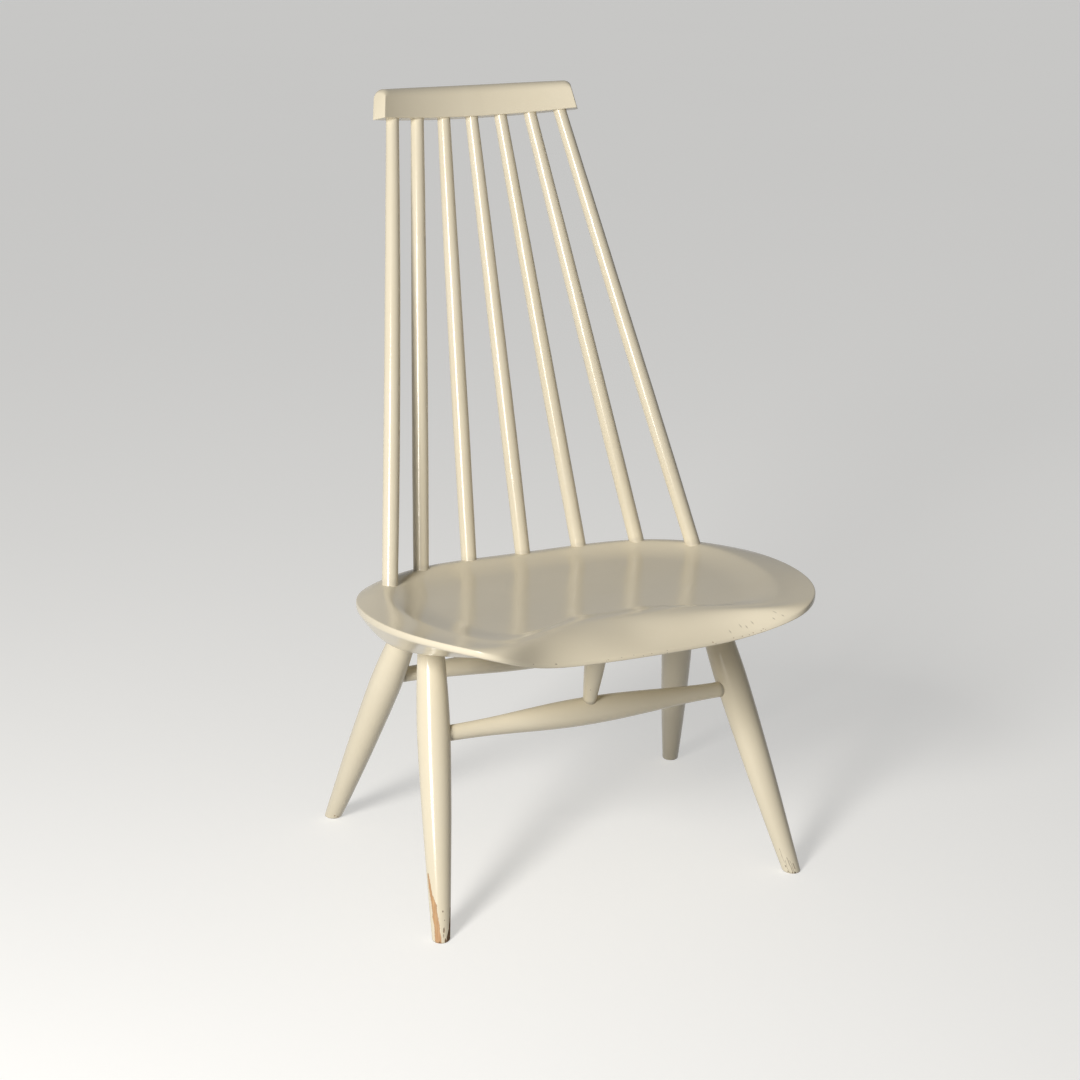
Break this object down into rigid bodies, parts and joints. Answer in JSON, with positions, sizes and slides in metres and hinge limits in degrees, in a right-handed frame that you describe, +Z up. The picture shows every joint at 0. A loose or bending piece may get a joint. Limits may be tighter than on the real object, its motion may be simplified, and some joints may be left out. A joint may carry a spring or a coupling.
{
  "type": "spindle back chair",
  "caption": "Low wooden chair with a dished seat, splayed turned legs, stretchers, a fanned spindle back and a curved crest rail, in worn cream paint.",
  "frame": {"origin": "Centre of the chair's bounding box on the floor, under the seat.", "axes": "+Z up, the chair faces -Y, X across it; the plane X = 0 is its mirror plane."},
  "size_m": [0.53, 0.5691, 0.9227],
  "materials": {
    "cream_paint": "worn semi-gloss cream paint over pale wood"
  },
  "bodies": {
    "root": {"seat": "cream_paint", "front_left_leg": "cream_paint", "front_right_leg": "cream_paint", "back_left_leg": "cream_paint", "back_right_leg": "cream_paint", "front_stretcher": "cream_paint", "rear_stretcher": "cream_paint", "stretcher_strut": "cream_paint", "crest_rail": "cream_paint", "spindle_1": "cream_paint", "spindle_2": "cream_paint", "spindle_3": "cream_paint", "spindle_4": "cream_paint", "spindle_5": "cream_paint", "spindle_6": "cream_paint", "spindle_7": "cream_paint"}
  },
  "joints": []
}
